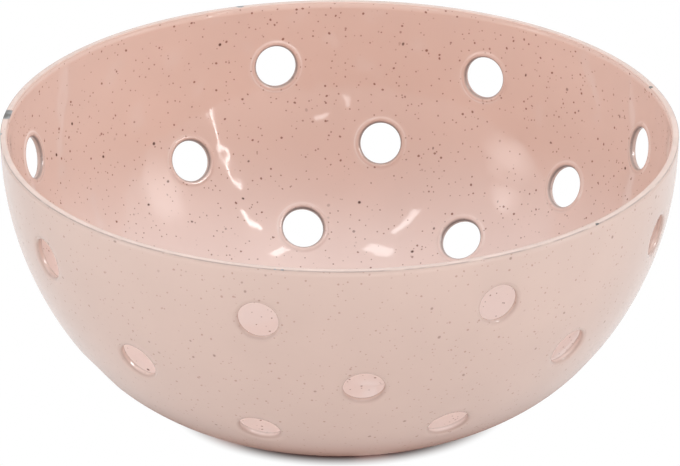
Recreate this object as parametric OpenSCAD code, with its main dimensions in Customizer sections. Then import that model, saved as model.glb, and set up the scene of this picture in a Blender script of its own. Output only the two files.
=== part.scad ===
// Berry colander bowl: a thin pressed steel shell, fully coated with speckled enamel.
// The origin is on the ground at the centre of the foot, and +Z is up, towards the rim.
// Azimuths run from +X towards +Y. The front of the bowl faces -Y.
// The wall's lean is its angle from upright: 0 at the rim and 90 on the flat foot.

/* [Bowl] */
// Outside diameter of the rim
rim_d = 180; // [165:1:195]
// Height of the rim above the ground
bowl_h = 77; // [70:1:84]
// Diameter of the flat foot that the bowl stands on
foot_d = 50; // [46:1:56]

/* [Wall] */
// Thickness of the pressed steel
steel_t = 1; // [0.7:0.1:1.4]
// Thickness of the enamel on the inside
inner_coat_t = 0.4; // [0.3:0.05:0.6]
// Thickness of the enamel on the outside
outer_coat_t = 0.4; // [0.3:0.05:0.6]
// Thickness of the enamel over the cut edge of the rim
rim_coat_t = 0.3; // [0.2:0.05:0.5]

/* [Drain holes] */
// Clear diameter of a finished drain hole
hole_d = 11; // [9:0.5:12]
// Thickness of the enamel that lines a drain hole
hole_coat_t = 0.3; // [0.2:0.05:0.5]
// Number of holes in the flat foot
foot_hole_count = 4; // [3:1:4]
// Width of flat foot left outside the foot's holes
foot_land = 1.2; // [0.8:0.1:2]

/* [Hidden] */

$fn = 96;

// How far a cutting tool runs past what it cuts
overrun = 2;

steel_colour = [0.60, 0.63, 0.65];
inner_colour = [0.87, 0.70, 0.65];
outer_colour = [0.87, 0.76, 0.72];
rim_colour = [0.93, 0.84, 0.80];

rim_r = rim_d / 2;
foot_r = foot_d / 2;
wall_t = outer_coat_t + steel_t + inner_coat_t;
hole_r = hole_d / 2;
// Radius of the hole punched through the steel, before it is coated
punch_r = hole_r + hole_coat_t;
foot_ring_r = foot_r - foot_land - punch_r;

// The outside is two tangent arcs, upright at the rim and level at the foot. The side arc
// runs into the base arc where the wall leans 3 outwards for each 4 upwards.
blend_lean = atan2(3, 4);
overhang = rim_r - foot_r;
arc_share = sin(blend_lean) + cos(blend_lean) - 1;
side_r = (bowl_h * cos(blend_lean) - overhang * (1 - sin(blend_lean))) / arc_share;
base_r = (overhang * sin(blend_lean) - bowl_h * (1 - cos(blend_lean))) / arc_share;
side_centre = [rim_r - side_r, bowl_h];
base_centre = [foot_r, base_r];

// Each hole as [azimuth, lean of the wall there]. The rows were marked out by hand, so
// they are uneven. Each row of the side is staggered half a step from the row above it.
upper_row_angles = [
    [21, 12], [63, 11.5], [101.5, 11.5], [162, 12.5],
    [209, 11.5], [256, 10.5], [298, 9.5], [342, 11.5]
];
middle_row_angles = [
    [2, 25.5], [40, 26], [82, 25.5], [120.5, 26],
    [186, 25.5], [229, 26], [274.5, 25], [317.5, 25]
];
lower_row_angles = [
    [21, 41], [60.5, 43], [98.5, 43], [151, 41],
    [204, 41], [252.5, 40], [294, 39.5], [340, 41]
];
floor_row_angles = [
    [43, 72], [102, 72], [163, 72], [224, 72], [283, 72], [345, 72]
];

// Point [radius, height] on the wall at a lean, at a depth below the outside
function wall_point(lean, depth) =
    lean < blend_lean
        ? side_centre + (side_r - depth) * [cos(lean), -sin(lean)]
        : base_centre + (base_r - depth) * [cos(lean), -sin(lean)];

// Flat wedge from an arc's centre, between two leans, that runs past the arc
module lean_wedge(centre, reach, from_lean, to_lean) {
    middle_lean = (from_lean + to_lean) / 2;
    polygon([
        centre,
        centre + reach * [cos(from_lean), -sin(from_lean)],
        centre + reach * [cos(middle_lean), -sin(middle_lean)],
        centre + reach * [cos(to_lean), -sin(to_lean)]
    ]);
}

// Slice of one arc of the wall, between two depths below the outside
module arc_slice(centre, arc_r, from_lean, to_lean, from_depth, to_depth) {
    intersection() {
        difference() {
            translate(centre) circle(r = arc_r - from_depth);
            translate(centre) circle(r = arc_r - to_depth);
        }
        lean_wedge(centre, 2 * arc_r, from_lean, to_lean);
    }
}

// Section of the curved wall, from the foot's edge to the rim. A small disc inside the
// layer laps the two arcs where they meet, so that they stay in one piece at any size.
module curved_section(from_depth, to_depth) {
    arc_slice(side_centre, side_r, 0, blend_lean, from_depth, to_depth);
    arc_slice(base_centre, base_r, blend_lean, 90, from_depth, to_depth);
    translate(wall_point(blend_lean, (from_depth + to_depth) / 2))
        circle(d = (to_depth - from_depth) / 2);
}

// Section of the flat foot
module foot_section(from_depth, to_depth) {
    translate([0, from_depth]) square([foot_r, to_depth - from_depth]);
}

// Everything above the cut edge of the steel at the rim
module above_steel_edge() {
    translate([0, bowl_h - rim_coat_t]) square([rim_r + overrun, rim_coat_t + overrun]);
}

// One layer of the whole wall below the rim's coat
module layer(from_depth, to_depth) {
    rotate_extrude() {
        difference() {
            union() {
                curved_section(from_depth, to_depth);
                foot_section(from_depth, to_depth);
            }
            above_steel_edge();
        }
    }
}

// Puts its children on the middle of the wall at a hole, with +Z along the hole, outwards
module at_hole(angles) {
    place = wall_point(angles[1], wall_t / 2);
    rotate([0, 0, angles[0]])
        translate([place[0], 0, place[1]])
            rotate([0, 90 + angles[1], 0])
                children();
}

// A row of round rods through the curved wall
module row_rods(row_angles, rod_r) {
    for (angles = row_angles)
        at_hole(angles) cylinder(r = rod_r, h = wall_t + 2 * overrun, center = true);
}

// The ring of upright rods through the flat foot
module foot_rods(rod_r) {
    for (i = [0 : foot_hole_count - 1])
        rotate([0, 0, i * 360 / foot_hole_count])
            translate([foot_ring_r, 0, wall_t / 2])
                cylinder(r = rod_r, h = wall_t + 2 * overrun, center = true);
}

module punched_holes() {
    row_rods(upper_row_angles, punch_r);
    row_rods(middle_row_angles, punch_r);
    row_rods(lower_row_angles, punch_r);
    row_rods(floor_row_angles, punch_r);
    foot_rods(punch_r);
}

// The enamel that lines a row of holes, as deep as the wall is thick
module row_lining(row_angles) {
    difference() {
        intersection() {
            layer(0, wall_t);
            row_rods(row_angles, punch_r);
        }
        row_rods(row_angles, hole_r);
    }
}

module steel_shell() {
    color(steel_colour)
    difference() {
        layer(outer_coat_t, outer_coat_t + steel_t);
        punched_holes();
    }
}

module inner_enamel() {
    color(inner_colour)
    difference() {
        layer(outer_coat_t + steel_t, wall_t);
        punched_holes();
    }
}

module outer_enamel() {
    color(outer_colour)
    difference() {
        rotate_extrude() {
            difference() {
                curved_section(0, outer_coat_t);
                above_steel_edge();
            }
        }
        punched_holes();
    }
}

module foot_enamel() {
    color(outer_colour)
    difference() {
        cylinder(r = foot_r, h = outer_coat_t);
        foot_rods(punch_r);
    }
}

module rim_enamel() {
    color(rim_colour)
    rotate_extrude() {
        intersection() {
            curved_section(0, wall_t);
            above_steel_edge();
        }
    }
}

module upper_hole_enamel() {
    color(inner_colour) row_lining(upper_row_angles);
}

module middle_hole_enamel() {
    color(inner_colour) row_lining(middle_row_angles);
}

module lower_hole_enamel() {
    color(inner_colour) row_lining(lower_row_angles);
}

module floor_hole_enamel() {
    color(inner_colour) row_lining(floor_row_angles);
}

module foot_hole_enamel() {
    color(inner_colour)
    difference() {
        intersection() {
            layer(0, wall_t);
            foot_rods(punch_r);
        }
        foot_rods(hole_r);
    }
}

steel_shell();
inner_enamel();
outer_enamel();
foot_enamel();
rim_enamel();
upper_hole_enamel();
middle_hole_enamel();
lower_hole_enamel();
floor_hole_enamel();
foot_hole_enamel();
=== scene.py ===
from math import atan2, cos, exp, hypot, pi, radians, sin

import bmesh
import bpy
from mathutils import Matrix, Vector, noise


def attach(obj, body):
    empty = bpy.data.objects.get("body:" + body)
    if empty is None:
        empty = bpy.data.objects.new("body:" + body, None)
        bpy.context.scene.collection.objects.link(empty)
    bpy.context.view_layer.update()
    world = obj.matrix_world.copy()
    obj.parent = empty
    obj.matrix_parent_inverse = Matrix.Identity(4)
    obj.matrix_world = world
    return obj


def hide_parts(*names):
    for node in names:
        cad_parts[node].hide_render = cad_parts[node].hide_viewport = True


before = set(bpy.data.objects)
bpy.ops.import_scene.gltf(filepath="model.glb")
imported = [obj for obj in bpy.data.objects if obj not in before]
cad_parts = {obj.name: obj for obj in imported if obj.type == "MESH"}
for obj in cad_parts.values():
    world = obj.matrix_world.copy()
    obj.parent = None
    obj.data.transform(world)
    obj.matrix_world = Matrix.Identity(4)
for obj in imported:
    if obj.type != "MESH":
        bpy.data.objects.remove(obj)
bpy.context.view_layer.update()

# Sizes of the bowl in metres, the same as in the solids
bowl = {
    "rimRadius": 0.090,
    "height": 0.077,
    "footRadius": 0.025,
    "sideArc": 0.089,          # radius of the arc from the rim down
    "baseArc": 0.059,          # radius of the arc that runs in to the foot
    "blendSlope": 0.75,        # outwards for each step upwards, where the two arcs meet
    "wall": 0.0018,
    "rimCoat": 0.0003,
    "holeRadius": 0.0055,
    "footRing": 0.018,         # the foot's holes stand on this radius
}
blendLean = atan2(bowl["blendSlope"], 1)
sideLength = bowl["sideArc"] * blendLean
curveLength = sideLength + bowl["baseArc"] * (pi / 2 - blendLean)

# Azimuth and lean of each hole in degrees, row by row
holeRows = {
    "upper": [(21, 12), (63, 11.5), (101.5, 11.5), (162, 12.5),
              (209, 11.5), (256, 10.5), (298, 9.5), (342, 11.5)],
    "middle": [(2, 25.5), (40, 26), (82, 25.5), (120.5, 26),
               (186, 25.5), (229, 26), (274.5, 25), (317.5, 25)],
    "lower": [(21, 41), (60.5, 43), (98.5, 43), (151, 41),
              (204, 41), (252.5, 40), (294, 39.5), (340, 41)],
    "floor": [(43, 72), (102, 72), (163, 72), (224, 72), (283, 72), (345, 72)],
    "foot": [(0, 90), (90, 90), (180, 90), (270, 90)],
}


# Radius and height of the wall, so far down from the rim and so deep below its outside
def spotOn(along, depth):
    if along <= sideLength:
        lean, reach = along / bowl["sideArc"], bowl["sideArc"] - depth
        return (bowl["rimRadius"] - bowl["sideArc"] + reach * cos(lean),
                bowl["height"] - reach * sin(lean))
    if along <= curveLength:
        lean = blendLean + (along - sideLength) / bowl["baseArc"]
        reach = bowl["baseArc"] - depth
        return bowl["footRadius"] + reach * cos(lean), bowl["baseArc"] - reach * sin(lean)
    return max(bowl["footRadius"] + curveLength - along, 0), depth


# Vector from the centre of the wall's arc to a point, as radius and height, and the arc
def fromArc(point):
    radius = hypot(point.x, point.y)
    across, down = radius - bowl["rimRadius"] + bowl["sideArc"], bowl["height"] - point.z
    if down < bowl["blendSlope"] * across:
        return across, -down, bowl["sideArc"]
    return radius - bowl["footRadius"], point.z - bowl["baseArc"], bowl["baseArc"]


def depthAt(point):
    if hypot(point.x, point.y) < bowl["footRadius"]:
        return point.z
    across, up, arc = fromArc(point)
    return arc - hypot(across, up)


def outwardAt(point):
    if hypot(point.x, point.y) < bowl["footRadius"]:
        return Vector((0, 0, -1))
    across, up, arc = fromArc(point)
    away = Vector((point.x, point.y, 0)).normalized()
    return (away * across + Vector((0, 0, up))).normalized()


# Centre and axes of a hole. A lean of 90 puts it in the flat foot
def holeFrame(azimuth, lean):
    turn, tip = radians(azimuth), radians(lean)
    middle = bowl["wall"] / 2
    if lean == 90:
        radius, height = bowl["footRing"], middle
    elif tip < blendLean:
        radius, height = spotOn(bowl["sideArc"] * tip, middle)
    else:
        radius, height = spotOn(sideLength + bowl["baseArc"] * (tip - blendLean), middle)
    away, across = Vector((cos(turn), sin(turn), 0)), Vector((-sin(turn), cos(turn), 0))
    out = away * cos(tip) - Vector((0, 0, sin(tip)))
    return {"centre": away * radius + Vector((0, 0, height)),
            "across": across, "rise": out.cross(across), "out": out}


# The point of the wall at a place beside a hole's axis, at a depth below the outside. Each
# step along the axis brings it closer
def seat(hole, x, y, depth):
    point = hole["centre"] + hole["across"] * x + hole["rise"] * y
    for step in range(4):
        point = point + hole["out"] * (depthAt(point) - depth)
    return point


# The punch left the wall dished round each hole outside, and a low raised lip inside. The
# crest is the outer edge of that lip, and a pale ring on it is a painted highlight
punch = {
    "dish": 0.00016, "dishReach": 0.0018, "outRound": 0.00095, "outFall": 0.0006,
    "lip": 0.00028, "lipEnd": 0.00695, "lipBlend": 0.00012, "inRound": 0.0008,
    "crestAt": 0.00705, "crestWidth": 0.00026,
}


# Depth of the outside face round a hole
def outsideDepth(distance):
    return punch["dish"] * exp(-((distance - bowl["holeRadius"]) / punch["dishReach"]) ** 2)


# Depth of the inside face round a hole
def insideDepth(distance):
    past = (distance - punch["lipEnd"]) / punch["lipBlend"]
    return bowl["wall"] + punch["lip"] / (1 + exp(past))


# How near a place is to the crest of the lip, which is where the painted highlight goes
def crest(distance):
    return exp(-((distance - punch["crestAt"]) / punch["crestWidth"]) ** 2)


holes = {row: [holeFrame(*place) for place in places] for row, places in holeRows.items()}

# The glaze ran a little while it was fired, so the coats are gently uneven. The ripple fades
# out towards the rim
ripple = {"height": 0.00005, "length": 0.016, "fade": 0.006, "below": 0.0005}


# How far the face of a coat sinks at a point
def rippleAt(point):
    low = min(1, max(0, (bowl["height"] - ripple["below"] - point.z) / ripple["fade"]))
    return low * ripple["height"] * (0.5 + 0.5 * noise.noise(point / ripple["length"]))


# Shader maths: wraps a socket, so that sums on values add their nodes
class Wire:
    def __init__(self, tree, socket=None):
        self.tree, self.socket = tree, socket

    def node(self, kind, settings=None, sockets=None, out=0):
        made = self.tree.nodes.new(kind)
        for key, value in (settings or {}).items():
            setattr(made, key, value)
        for key, value in (sockets or {}).items():
            if isinstance(value, Wire):
                self.tree.links.new(value.socket, made.inputs[key])
            else:
                made.inputs[key].default_value = value
        return Wire(self.tree, made.outputs[out]) if made.outputs else None

    def beside(self, out):               # another output of the same node
        return Wire(self.tree, self.socket.node.outputs[out])

    def maths(self, operation, first, second=0.0):
        return self.node("ShaderNodeMath", {"operation": operation}, {0: first, 1: second})

    def vectors(self, operation, first, second, out=0):
        return self.node("ShaderNodeVectorMath", {"operation": operation},
                         {0: first, 1: second}, out)

    def __add__(self, other):
        return self.maths("ADD", self, other)

    def __sub__(self, other):
        return self.maths("SUBTRACT", self, other)

    def __rsub__(self, other):
        return self.maths("SUBTRACT", other, self)

    def __mul__(self, other):
        return self.maths("MULTIPLY", self, other)

    def __pow__(self, other):
        return self.maths("POWER", self, other)

    __radd__ = __add__
    __rmul__ = __mul__

    def ramp(self, low, high):           # 0 at low, 1 at high, eased between
        return self.node("ShaderNodeMapRange", {"interpolation_type": "SMOOTHSTEP"},
                         {"Value": self, "From Min": low, "From Max": high})

    def mix(self, factor, first, second):
        return self.node("ShaderNodeMix", {"data_type": "RGBA"},
                         {0: factor, 6: first, 7: second}, out=2)

    def cloud(self, place, scale, detail):
        return self.node("ShaderNodeTexNoise", {},
                         {"Vector": place, "Scale": scale, "Detail": detail})

    def attribute(self, name):
        return self.node("ShaderNodeAttribute", {"attribute_name": name}, {}, out="Fac")


def newMaterial(name):
    material = bpy.data.materials.new(name)
    material.use_nodes = True
    material.node_tree.nodes.clear()
    wire = Wire(material.node_tree)
    return material, wire, wire.node("ShaderNodeTexCoord", out="Object")


def finishMaterial(wire, sockets):
    surface = wire.node("ShaderNodeBsdfPrincipled", {}, sockets)
    wire.node("ShaderNodeOutputMaterial", {}, {"Surface": surface})


# Specks by size: grid cell, radius, share of the cells with one, shift, strength and colour
speckSizes = [
    (0.0017, 0.00030, 1.00, 0.2, 0.75, "haloColour"),
    (0.0030, 0.00044, 0.85, 0.5, 0.95, "haloColour"),
    (0.0064, 0.00058, 0.80, 0.9, 1.00, "speckColour"),
]
speckShape = {"bendScale": 1.4, "bend": 0.25, "core": 0.45, "fadeIn": 0.3}


# Specks of iron that burned through the glaze: small balls that the surface cuts
def specks(wire, place, cell, radius, share, shift):
    bent = wire.node("ShaderNodeTexNoise", {},
                     {"Vector": place, "Scale": speckShape["bendScale"] / cell}, out="Color")
    bent = wire.node("ShaderNodeVectorMath", {"operation": "SCALE"},
                     {0: bent, "Scale": speckShape["bend"] * cell})
    moved = wire.vectors("ADD", wire.vectors("ADD", place, bent), (shift, 0, shift))
    grid = wire.node("ShaderNodeTexVoronoi", {}, {"Vector": moved, "Scale": 1 / cell},
                     out="Distance")
    chance = wire.node("ShaderNodeSeparateColor", {}, {0: grid.beside("Color")})
    spot = grid.ramp(radius / cell, speckShape["core"] * radius / cell)
    return spot * chance.ramp(1 - share, 1 + speckShape["fadeIn"] - share)


enamel = {
    # the second colour on this row is painted light, paler towards the inside's floor
    "insideColour": (0.622, 0.411, 0.344, 1), "paintedLightColour": (0.820, 0.655, 0.608, 1),
    # the second colour on this row is painted shade on the outside near the ground
    "outsideColour": (0.563, 0.414, 0.363, 1), "shadedLowColour": (0.575, 0.338, 0.268, 1),
    "speckColour": (0.105, 0.040, 0.028, 1), "haloColour": (0.24, 0.10, 0.072, 1),
    # dark of the edges, from enamel thinned over the steel, and at the holes' edges from
    # painted shade in the bores too
    "thinColour": (0.15, 0.13, 0.125, 1), "outDarkEdgeColour": (0.27, 0.165, 0.14, 1),
    # colour and share of the painted highlight along the lips round the holes
    "paintedGlintColour": (0.86, 0.745, 0.70, 1), "paintedGlintShare": 0.5,
    # painted light: the inside pales down between two heights, and out between two distances to
    # the side as a painted sheen
    "paintedLightHeights": (0.040, 0.002), "paleTilt": 0.18,
    "paintedSheenSides": (0.045, 0.090), "paintedSheenShare": 0.16,
    # painted shade: the outside darkens and warms towards the ground between these heights
    "paintedShadeHeights": (0.018, 0.003),       # the outside warms down between these
    "cloudScale": 42, "cloudDepth": 0.12,
    "slowScale": 115, "fastScale": 480, "fastShare": 0.03,
    "refraction": 1.5,
}


# Pink of the inside, with painted light: it pales towards the floor, where light from above
# falls, and a little towards both sides as a painted sheen
def insideColour(wire, place):
    height = wire.node("ShaderNodeSeparateXYZ", {}, {0: place}, out="Z")
    aside = wire.maths("ABSOLUTE", height.beside("X"))
    paintedLight = ((height - aside * enamel["paleTilt"]).ramp(*enamel["paintedLightHeights"])
              + aside.ramp(*enamel["paintedSheenSides"]) * enamel["paintedSheenShare"])
    return wire.mix(paintedLight, enamel["insideColour"], enamel["paintedLightColour"])


# Paler pink of the outside, with painted shade: it warms and darkens close to the ground, where
# the floor's shadow falls
def outsideColour(wire, place):
    height = wire.node("ShaderNodeSeparateXYZ", {}, {0: place}, out="Z")
    return wire.mix(height.ramp(*enamel["paintedShadeHeights"]),
                    enamel["outsideColour"], enamel["shadedLowColour"])


# One fired coat: mottled pink with specks, and on the inside a painted highlight along the lip
# round each hole. The edges of the holes go from the outside's pink to the inside's, and are
# dark where the enamel is drawn out thinly, with painted shade in the bores as well
def enamelMaterial(name, side, roughness, speckStrength, wave):
    material, wire, place = newMaterial(name)
    cloud = wire.cloud(place, enamel["cloudScale"], 3)
    base = outsideColour(wire, place) if side == "outside" else insideColour(wire, place)
    if side == "edges":
        across = wire.attribute("inner").ramp(0.3, 0.7)
        base = wire.mix(across, outsideColour(wire, place), base)
    tint = cloud * enamel["cloudDepth"] + (1 - enamel["cloudDepth"] / 2)
    base = wire.node("ShaderNodeHueSaturation", {}, {"Value": tint, "Color": base})
    # Painted highlight: a pale ring along the crest of each hole's lip, broken up by the
    # mottling
    if side == "inside":
        light = wire.attribute("crest") * cloud.ramp(0.35, 0.65)
        base = wire.mix(light * enamel["paintedGlintShare"], base, enamel["paintedGlintColour"])
    for cell, radius, share, shift, strength, colour in speckSizes:
        spots = specks(wire, place, cell, radius, share, shift)
        base = wire.mix(spots * (strength * speckStrength), base, enamel[colour])
    # Painted shade in the bores and enamel drawn out thinly darken the holes' edges
    if side == "edges":
        thinColour = wire.mix(across, enamel["outDarkEdgeColour"], enamel["thinColour"])
        base = wire.mix(wire.attribute("thin"), base, thinColour)
    slow = wire.cloud(place, enamel["slowScale"], 1)
    fast = wire.cloud(place, enamel["fastScale"], 0)
    bump = wire.node("ShaderNodeBump", {}, {"Strength": 1.0, "Distance": wave,
                                            "Height": slow + fast * enamel["fastShare"]})
    finishMaterial(wire, {"Base Color": base, "Roughness": roughness, "Normal": bump,
                          "IOR": enamel["refraction"]})
    return material


insideEnamel = enamelMaterial("insideEnamel", "inside",
                              roughness=0.06, speckStrength=1.0, wave=0.00016)
outsideEnamel = enamelMaterial("outsideEnamel", "outside",
                               roughness=0.20, speckStrength=0.48, wave=0.00006)
edgeEnamel = enamelMaterial("edgeEnamel", "edges",
                            roughness=0.10, speckStrength=0.4, wave=0.00004)

# The rim's thin pale coat, which takes the inside's pink along its inner corner and goes dark
# along its outer one, between two radii each
rim = {
    "paleColour": (0.64, 0.490, 0.435, 1), "warmColour": (0.72, 0.550, 0.490, 1),
    "innerRadii": (0.08872, 0.08840), "innerShare": 0.8,
    "outerRadii": (0.08970, 0.08990), "outerShare": 0.5,
    "wanderScale": 160, "speckStrength": 0.6, "roughness": 0.16,
    "darkMetal": (0.12, 0.115, 0.11, 1), "paleMetal": (0.33, 0.34, 0.35, 1),
    "wornRoughness": 0.2, "wornMetal": 0.4,
    "turns": 320, "easing": 0.00024, "easingSteps": 4,
}

# Where the rim is worn to bare metal: azimuth, radius, height and half-width of each patch
rimWear = [
    (172.3, 0.0893, 0.0770, 0.0034), (180.6, 0.0900, 0.0769, 0.0007),
    (259.3, 0.0901, 0.0769, 0.0004), (260.5, 0.0901, 0.0769, 0.0005),
    (107.5, 0.0897, 0.0770, 0.0012), (20.0, 0.0884, 0.0770, 0.0007),
    (318.5, 0.0900, 0.0768, 0.0006),
]


def rimMaterial():
    material, wire, place = newMaterial("rimEnamel")
    x = wire.node("ShaderNodeSeparateXYZ", {}, {0: place}, out="X")
    y = x.beside("Y")
    radius = (x * x + y * y) ** 0.5
    wander = wire.cloud(place, rim["wanderScale"], 2)
    ragged = wander.ramp(0.2, 0.5)
    base = wire.mix(wander.ramp(0.3, 0.7), rim["paleColour"], rim["warmColour"])
    spots = specks(wire, place, cell=0.0026, radius=0.0003, share=0.5, shift=0.2)
    base = wire.mix(spots * rim["speckStrength"], base, enamel["haloColour"])
    inner = radius.ramp(*rim["innerRadii"]) * ragged
    base = wire.mix(inner * rim["innerShare"], base, enamel["insideColour"])
    outer = radius.ramp(*rim["outerRadii"]) * ragged
    base = wire.mix(outer * rim["outerShare"], base, enamel["thinColour"])
    worn = None
    for azimuth, ring, height, size in rimWear:
        spot = (ring * cos(radians(azimuth)), ring * sin(radians(azimuth)), height)
        gap = wire.vectors("DISTANCE", place, spot, out="Value")
        patch = (gap + (wander - 0.5) * size).ramp(size, 0.8 * size)
        worn = patch if worn is None else wire.maths("MAXIMUM", worn, patch)
    metal = wire.mix(wander.ramp(0.4, 0.6), rim["darkMetal"], rim["paleMetal"])
    finishMaterial(wire, {"Base Color": wire.mix(worn, base, metal),
                          "Roughness": rim["roughness"] + worn * rim["wornRoughness"],
                          "Metallic": worn * rim["wornMetal"], "IOR": enamel["refraction"]})
    return material


rimEnamel = rimMaterial()
print("enamels mixed")


def addPiece(name, bm, material, nodes):
    bmesh.ops.recalc_face_normals(bm, faces=bm.faces)
    mesh = bpy.data.meshes.new(name)
    bm.to_mesh(mesh)
    bm.free()
    mesh.shade_smooth()
    mesh.materials.append(material)
    piece = bpy.data.objects.new(name, mesh)
    bpy.context.collection.objects.link(piece)
    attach(piece, "root")
    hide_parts(*nodes)
    return piece


# Spins what is given once round the Z axis
def spinRound(bm, geometry, turns):
    bmesh.ops.spin(bm, geom=geometry, cent=(0, 0, 0), axis=(0, 0, 1),
                   angle=2 * pi, steps=turns, use_merge=True)


# A closed outline in the XZ plane, as its corners and edges
def outlineOf(bm, corners):
    loop = [bm.verts.new((radius, 0, height)) for radius, height in corners]
    return loop, [bm.edges.new(pair) for pair in zip(loop, loop[1:] + loop[:1])]


# A sheet of enamel, spun round the bowl's axis
def spunSheet(alongs, depth, columns):
    bm = bmesh.new()
    chain = [bm.verts.new((radius, 0, height))
             for radius, height in (spotOn(along, depth) for along in alongs)]
    edges = [bm.edges.new(pair) for pair in zip(chain, chain[1:])]
    spinRound(bm, chain + edges, columns)
    bmesh.ops.remove_doubles(bm, verts=bm.verts, dist=1e-6)
    return bm


# Opens a hole in a sheet: clears the wall there, then draws its edge in, ring by ring
def openHole(bm, hole, depthBeside, reach, rings):
    old = {edge for edge in bm.edges if edge.is_boundary}
    crestLayer = bm.verts.layers.float["crest"]
    middle = seat(hole, 0, 0, depthBeside(reach))
    cleared = [v for v in bm.verts if (v.co - middle).length < reach]
    bmesh.ops.delete(bm, geom=cleared, context="VERTS")
    edge = [e for e in bm.edges if e.is_boundary and e not in old]
    brim = list({v for e in edge for v in e.verts})

    def settle(vert, x, y):
        vert.co = seat(hole, x, y, depthBeside(hypot(x, y)))
        vert[crestLayer] = crest(hypot(x, y))

    def beside(vert):
        gap = vert.co - hole["centre"]
        return gap.dot(hole["across"]), gap.dot(hole["rise"])

    def bearing(vert):
        x, y = beside(vert)
        return atan2(y, x)

    for again in range(2):
        bmesh.ops.smooth_vert(bm, verts=brim, factor=0.5,
                              use_axis_x=True, use_axis_y=True, use_axis_z=True)
    for vert in brim:
        settle(vert, *beside(vert))
    for ring in rings:
        made = bmesh.ops.extrude_edge_only(bm, edges=edge)["geom"]
        edge = [e for e in made if isinstance(e, bmesh.types.BMEdge) and e.is_boundary]
        fresh = sorted((v for v in made if isinstance(v, bmesh.types.BMVert)), key=bearing)
        step = 2 * pi / len(fresh)
        start = sum(bearing(v) - i * step for i, v in enumerate(fresh)) / len(fresh)
        for i, vert in enumerate(fresh):
            settle(vert, ring * cos(start + i * step), ring * sin(start + i * step))


# The sheets' mesh: rows and columns, how far each hole clears them, and the rings round it
sheet = {
    "columns": 160, "wallRows": 33, "thickness": 0.0003,
    "wallReach": 0.0083, "wallRings": (0.0078, 0.0074, 0.0071, 0.0068, 0.0065),
    "footReach": 0.0067, "footRings": (0.0065,),
    "footStations": (0, .0005, .0016, .003, .0045, .006, .0076, .0092, .0108, .0124,
                     .014, .0158, .018, .0205, .025),
}


def coat(name, alongs, depth, depthBeside, rows, material, nodes):
    bm = spunSheet(alongs, depth, sheet["columns"])
    bm.verts.layers.float.new("crest")
    for row in rows:
        place = "foot" if row == "foot" else "wall"
        for hole in holes[row]:
            openHole(bm, hole, depthBeside, sheet[place + "Reach"], sheet[place + "Rings"])
    for vert in bm.verts:
        vert.co -= outwardAt(vert.co) * rippleAt(vert.co)
    piece = addPiece(name, bm, material, nodes)
    facing = 1 if depth < bowl["wall"] / 2 else -1
    face = max(piece.data.polygons, key=lambda f: f.center.z)
    if face.normal.dot(outwardAt(face.center)) * facing < 0:
        piece.data.flip_normals()
    rounder = piece.modifiers.new("rounder", "SUBSURF")
    rounder.levels = rounder.render_levels = 1
    backing = piece.modifiers.new("backing", "SOLIDIFY")
    backing.thickness, backing.offset = sheet["thickness"], -1


wallAlongs = [bowl["rimCoat"] + (curveLength - bowl["rimCoat"]) * i / sheet["wallRows"]
              for i in range(sheet["wallRows"] + 1)]
footAlongs = [curveLength + station for station in sheet["footStations"]]
wallRowNames = ("upper", "middle", "lower", "floor")

coat("outside_enamel_coat", wallAlongs, 0, outsideDepth, wallRowNames,
     outsideEnamel, ["outer_enamel"])
coat("foot_enamel_coat", footAlongs, 0, outsideDepth, ("foot",),
     outsideEnamel, ["foot_enamel"])
coat("inside_enamel_coat", wallAlongs + footAlongs[1:], bowl["wall"], insideDepth,
     wallRowNames + ("foot",), insideEnamel, ["inner_enamel"])
print("coats sprayed")


# The enamel is drawn out thinly over a hole's edge, and painted shade darkens the bore: how far
# its colour goes to the dark one at the top and at the bottom of the hole, outside and inside.
# The inside edges of the front holes get less of it
lip = {
    "overlap": 0.0069, "seam": 0.0065, "sunk": 0.0001,
    "outTop": 0.08, "outBottom": 0.40, "inTop": 0.85, "inBottom": 0.62, "frontShare": 0.35,
    "bends": (15, 30, 45, 60, 75, 90), "turns": 64,
}


# How dark each bend of an edge is, from enamel drawn out thinly and from painted shade, most at
# the middle of the rounding
def thinAt(bend):
    return sin(radians(1.5 * bend)) ** 2


# Section of the enamel round a hole's edge, as distance from its axis, depth and darkness from
# thinning and painted shade
def liningSection():
    outCorner = bowl["holeRadius"] + punch["outRound"]
    inCorner = bowl["holeRadius"] + punch["inRound"]
    overlap, seam, sunk = lip["overlap"], lip["seam"], lip["sunk"]
    section = [(overlap, outsideDepth(overlap) + sunk, 0), (seam, outsideDepth(seam), 0),
               (outCorner, outsideDepth(outCorner), 0)]
    for bend in lip["bends"]:
        distance = outCorner - punch["outRound"] * sin(radians(bend))
        drop = punch["outFall"] * (1 - cos(radians(bend)))
        section.append((distance, outsideDepth(distance) + drop, thinAt(bend)))
    for bend in reversed(lip["bends"]):
        distance = inCorner - punch["inRound"] * sin(radians(bend))
        drop = punch["inRound"] * (1 - cos(radians(bend)))
        section.append((distance, insideDepth(distance) - drop, thinAt(bend)))
    return section + [(inCorner, insideDepth(inCorner), 0), (seam, insideDepth(seam), 0),
                      (overlap, insideDepth(overlap) - sunk, 0)]


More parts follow.
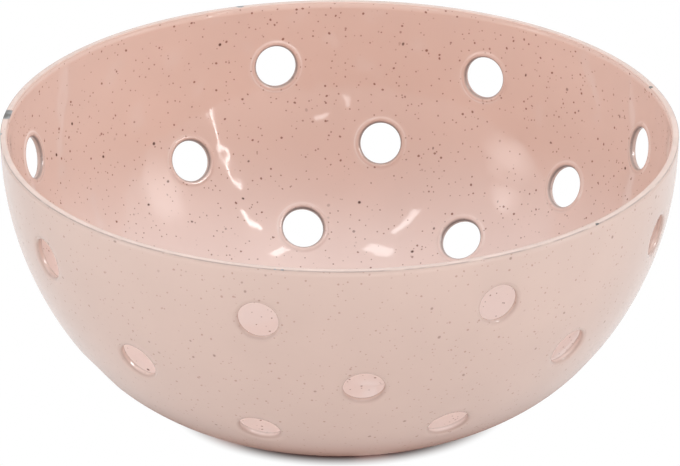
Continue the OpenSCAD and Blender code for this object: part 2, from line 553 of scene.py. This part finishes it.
# The edges of one row of holes: each is spun about Z, then seated on the wall
def lining(row):
    bm = bmesh.new()
    thinLayer = bm.verts.layers.float.new("thin")
    innerLayer = bm.verts.layers.float.new("inner")
    section = liningSection()
    for hole in holes[row]:
        done = set(bm.verts)
        loop, edges = outlineOf(bm, [(distance, -depth) for distance, depth, thin in section])
        for vert, (distance, depth, thin) in zip(loop, section):
            vert[thinLayer] = thin
            vert[innerLayer] = min(1, max(0, depth / bowl["wall"]))
        spinRound(bm, loop + edges, lip["turns"])
        for vert in bm.verts:
            if vert not in done:
                # Painted shade: darker at the bottom of a hole outside and at its top inside,
                # and less so inside the front holes
                high = 0.5 + 0.5 * vert.co.y / hypot(vert.co.x, vert.co.y)
                inside = vert[innerLayer] > 0.5
                top, bottom = ("inTop", "inBottom") if inside else ("outTop", "outBottom")
                vert[thinLayer] *= lip[bottom] + (lip[top] - lip[bottom]) * high
                if inside and hole["centre"].y < 0:
                    vert[thinLayer] *= lip["frontShare"]
                vert.co = seat(hole, vert.co.x, vert.co.y, -vert.co.z)
                vert.co -= outwardAt(vert.co) * rippleAt(vert.co)
    return addPiece(row + "_hole_edges", bm, edgeEnamel, [row + "_hole_enamel"])


linings = [lining(row) for row in holeRows]
print("holes lined")


# The pale coat over the cut edge, square in section with its two corners eased
def rimCap():
    low, high = bowl["height"] - bowl["rimCoat"], bowl["height"]
    outer, inner = bowl["rimRadius"], bowl["rimRadius"] - bowl["wall"]
    near = 1e-5
    bm = bmesh.new()
    loop, edges = outlineOf(bm, [(outer, low), (outer, high), (inner, high), (inner, low)])
    spinRound(bm, loop + edges, rim["turns"])
    corners = [e for e in bm.edges if min(v.co.z for v in e.verts) > high - near
               and abs(hypot(*e.verts[0].co.xy) - hypot(*e.verts[1].co.xy)) < near]
    bmesh.ops.bevel(bm, geom=corners, offset=rim["easing"], segments=rim["easingSteps"],
                    profile=0.5, affect="EDGES", material=-1)
    addPiece("rim_enamel_band", bm, rimEnamel, ["rim_enamel"])


rimCap()
print("rim banded")

# The pressed steel inside the coats keeps its solid and gets its own finish
steel = {
    "grainScale": 900, "darkColour": (0.30, 0.32, 0.34, 1), "paleColour": (0.46, 0.48, 0.50, 1),
    "roughness": 0.3, "grainRoughness": 0.2,
}


def steelMaterial():
    material, wire, place = newMaterial("pressedSteel")
    grain = wire.cloud(place, steel["grainScale"], 4)
    base = wire.mix(grain, steel["darkColour"], steel["paleColour"])
    finishMaterial(wire, {"Base Color": base, "Metallic": 1.0,
                          "Roughness": steel["roughness"] + grain * steel["grainRoughness"]})
    return material


pressedSteel = steelMaterial()
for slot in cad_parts["steel_shell"].material_slots:
    slot.material = pressedSteel

# Studio: a white floor with the bowl's shadow where the underside comes close, between two
# radii, and soft lamps. The shadow reaches further in reflections than in the picture
studio = {
    "world": 0.68,
    "shadow": (0.0375, 0.0452), "shadowSquash": (0.95, 1, 1),
    "shadowColour": (0.25, 0.135, 0.115, 1), "mirroredShadow": (0.040, 0.090),
    # what the floor throws back onto the bowl, close to it and further off; close to it the
    # floor is darker with painted shadow
    "bounce": (0.040, 0.070),
    "shadowedNearColour": (0.50, 0.39, 0.36, 1), "farColour": (0.80, 0.76, 0.74, 1),
    "floorRadius": 6, "floorHeight": -0.0001, "floorSides": 96,
    "lampDistance": 1.6, "lampAim": 0.04, "coolColour": (0.84, 0.96, 1.0),
    "lampFade": (0.5, 0.1), "lampGain": 2.5,
}


# Rays that see a surface straight, and in a reflection or through glass
def seenRays(wire):
    straight = wire.node("ShaderNodeLightPath", out="Is Camera Ray")
    glossy, through = straight.beside("Is Glossy Ray"), straight.beside("Is Transmission Ray")
    return straight, wire.maths("MAXIMUM", glossy, through)


# The floor is clear from below, so that the underside can be looked at
def floorMaterial():
    material, wire, place = newMaterial("studioFloor")
    squashed = wire.vectors("MULTIPLY", place, studio["shadowSquash"])
    radius = wire.node("ShaderNodeVectorMath", {"operation": "LENGTH"}, {0: squashed},
                       out="Value")
    straight, mirrored = seenRays(wire)
    clear = (radius.ramp(*studio["shadow"]) * straight
             + radius.ramp(*studio["mirroredShadow"]) * mirrored)
    around = wire.mix(radius.ramp(*studio["bounce"]), studio["shadowedNearColour"], studio["farColour"])
    tone = wire.mix(straight, around, studio["shadowColour"])
    matt = wire.node("ShaderNodeBsdfDiffuse", {}, {"Color": tone})
    white = wire.node("ShaderNodeEmission", {}, {"Color": (1, 1, 1, 1), "Strength": 1})
    above = wire.node("ShaderNodeMixShader", {}, {0: clear, 1: matt, 2: white})
    below = wire.node("ShaderNodeNewGeometry", out="Backfacing")
    gone = wire.node("ShaderNodeBsdfTransparent")
    both = wire.node("ShaderNodeMixShader", {}, {0: below, 1: above, 2: gone})
    wire.node("ShaderNodeOutputMaterial", {}, {"Surface": both})
    return material


floorMesh = bmesh.new()
bmesh.ops.create_circle(floorMesh, cap_ends=True, segments=studio["floorSides"],
                        radius=studio["floorRadius"])
bmesh.ops.translate(floorMesh, verts=floorMesh.verts, vec=(0, 0, studio["floorHeight"]))
floorData = bpy.data.meshes.new("studio_floor")
floorMesh.to_mesh(floorData)
floorMesh.free()
floorData.materials.append(floorMaterial())
studioFloor = bpy.data.objects.new("studio_floor", floorData)
bpy.context.collection.objects.link(studioFloor)

world = bpy.data.worlds.new("studioWorld")
world.use_nodes = True
world.node_tree.nodes.clear()
air = Wire(world.node_tree)
straight, mirrored = seenRays(air)
bright = (straight + mirrored) * (1 - studio["world"]) + studio["world"]
sky = air.node("ShaderNodeBackground", {}, {"Color": (1, 1, 1, 1), "Strength": bright})
air.node("ShaderNodeOutputWorld", {}, {"Surface": sky})
bpy.context.scene.world = world

# Lamps as azimuth, elevation, width, height and power, all as far from the bowl. Boxes and
# fills are soft. The side boxes and the front fill stand for bounced light, and have no
# reflection. Veils show in reflections only, and the edge veil only on the holes' edges
lamps = {
    "rightStrip": (317, 24, 0.014, 0.80, 0.9),
    "rightPaneLow": (323, 52, 0.04, 0.34, 0.6),
    "rightPaneHigh": (332, 70, 0.14, 0.10, 0.35),
    "leftPaneLow": (229, 56, 0.06, 0.40, 0.55),
    "leftPaneHigh": (225, 74, 0.16, 0.12, 0.35),
    "frontPane": (277, 19, 0.10, 0.05, 0.10),
    "frontSlot": (267, 14, 0.04, 0.12, 0.09),
    "leftBox": (192, 18, 1.6, 1.5, 12),
    "rightBox": (350, 22, 1.6, 1.5, 13),
    "rightVeil": (350, 26, 0.60, 0.75, 1.5),
    "leftVeilLow": (201, 19, 0.80, 0.42, 1.1),
    "leftVeilHigh": (194, 30, 0.44, 0.36, 0.5),
    "edgeVeil": (334, 42, 1.0, 0.9, 22),
    "topBox": (280, 78, 2.2, 2.2, 8),
    "frontFill": (268, 16, 2.2, 1.2, 9),
}
sideBoxes = ("leftBox", "rightBox")
softEndings = ("Box", "Fill", "Veil", "VeilLow", "VeilHigh")


# A lamp that fades towards its edges, so that it has a soft reflection
def softenLamp(data):
    data.use_nodes = True
    data.node_tree.nodes.clear()
    wire = Wire(data.node_tree)
    over = wire.node("ShaderNodeNewGeometry", out="Parametric")
    gap = wire.vectors("DISTANCE", over, (0.5, 0.5, 0), out="Value")
    glow = wire.node("ShaderNodeEmission", {},
                     {"Strength": gap.ramp(*studio["lampFade"]) * studio["lampGain"]})
    wire.node("ShaderNodeOutputLight", {}, {"Surface": glow})


holeEdges = bpy.data.collections.new("holeEdges")
for piece in linings:
    holeEdges.objects.link(piece)

for name, (azimuth, elevation, width, height, power) in lamps.items():
    data = bpy.data.lights.new(name, "AREA")
    data.shape, data.size, data.size_y, data.energy = "RECTANGLE", width, height, power
    if name.endswith(softEndings):
        softenLamp(data)
    if name in sideBoxes:
        data.color = studio["coolColour"]
    lamp = bpy.data.objects.new(name, data)
    turn, lift = radians(azimuth), radians(elevation)
    away = Vector((cos(turn) * cos(lift), sin(turn) * cos(lift), sin(lift)))
    lamp.location = away * studio["lampDistance"] + Vector((0, 0, studio["lampAim"]))
    lamp.rotation_euler = away.to_track_quat("Z", "Y").to_euler()
    lamp.visible_camera = False
    lamp.visible_glossy = name not in sideBoxes and name != "frontFill"
    lamp.visible_diffuse = "Veil" not in name
    bpy.context.collection.objects.link(lamp)
    if name == "edgeVeil":
        lamp.light_linking.receiver_collection = holeEdges

# Camera at the photograph's place, for a picture 680 wide and 466 high. The rim's centre is
# given in pixels right of and above the middle
view = {
    "elevation": radians(23.58), "distance": 3.6, "pixelsPerMetre": 3772,
    "rimRight": -0.5, "rimAbove": 100.5, "width": 680, "sensor": 36, "farthest": 50,
}
away = Vector((0, -cos(view["elevation"]), sin(view["elevation"])))
upward = Vector((0, sin(view["elevation"]), cos(view["elevation"])))
rimCentre = Vector((0, 0, bowl["height"]))
offset = Vector((view["rimRight"], 0, 0)) + upward * view["rimAbove"]
target = rimCentre - offset / view["pixelsPerMetre"]
lens = bpy.data.cameras.new("camera")
lens.sensor_width = view["sensor"]
lens.lens = view["pixelsPerMetre"] * view["distance"] / view["width"] * view["sensor"]
lens.clip_end = view["farthest"]
camera = bpy.data.objects.new("camera", lens)
camera.location = rimCentre + away * view["distance"]
camera.rotation_euler = (camera.location - target).to_track_quat("Z", "Y").to_euler()
bpy.context.collection.objects.link(camera)
bpy.context.scene.camera = camera
bpy.context.scene.view_settings.view_transform = "Standard"
print("studio lit")
